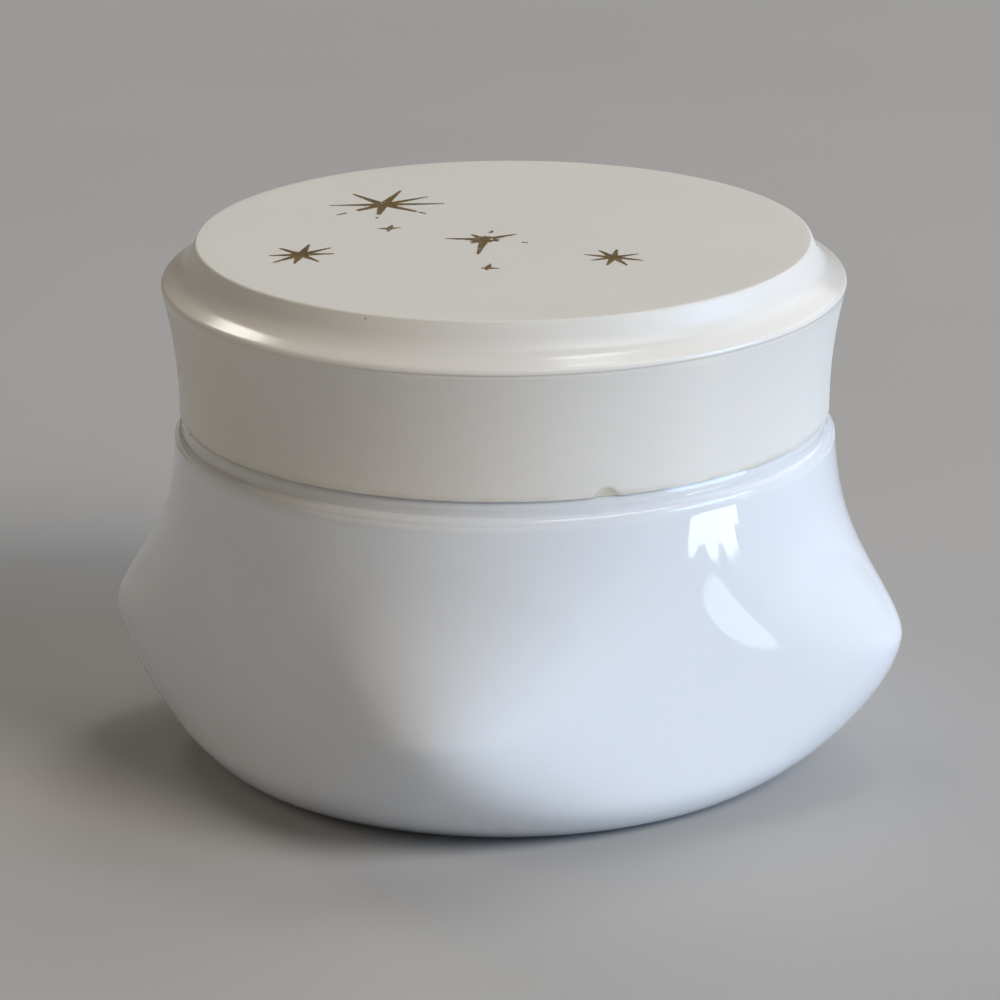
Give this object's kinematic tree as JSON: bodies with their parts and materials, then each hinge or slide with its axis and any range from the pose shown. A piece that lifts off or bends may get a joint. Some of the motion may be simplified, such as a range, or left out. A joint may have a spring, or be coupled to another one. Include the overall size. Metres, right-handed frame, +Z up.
{
  "type": "cosmetic cream jar",
  "caption": "Squat opal glass cream jar with a soft four-lobed body, a wide threaded neck and a moulded screw cap with foil starbursts.",
  "frame": {"origin": "centre of the foot, on the surface that the jar stands on", "axes": "+Z up along the axis of neck and cap; the four lobes point along +X, +Y, -X and -Y"},
  "size_m": [0.0652, 0.0652, 0.043],
  "materials": {
    "opal_glass": "glossy opal glass",
    "cap_plastic": "moulded, satin skirt and polished crest",
    "liner_board": "raw pulpboard",
    "liner_film": "thin smooth facing",
    "gold_foil": "worn hot-stamped foil"
  },
  "bodies": {
    "jar": {"glass_jar": "opal_glass"},
    "liner": {"liner_backing": "liner_board", "liner_facing": "liner_film"},
    "cap": {"cap_shell": "cap_plastic", "star_large": "gold_foil", "star_left": "gold_foil", "star_centre": "gold_foil", "star_right": "gold_foil", "star_small_upper": "gold_foil", "star_small_lower": "gold_foil"}
  },
  "joints": [
    {"name": "lid_lift", "type": "slide", "parent": "jar", "child": "liner", "axis": [0, 0, 1], "range_m": [0, 0.0149]},
    {"name": "lid_turn", "type": "hinge", "parent": "liner", "child": "cap", "pos_m": [0, 0, 0.0398], "axis": [0, 0, 1], "range_deg": [0, 1260]}
  ],
  "couplings": [
    {"joint": "lid_lift", "follows": "lid_turn", "m_per_rad": 0.00067323}
  ]
}
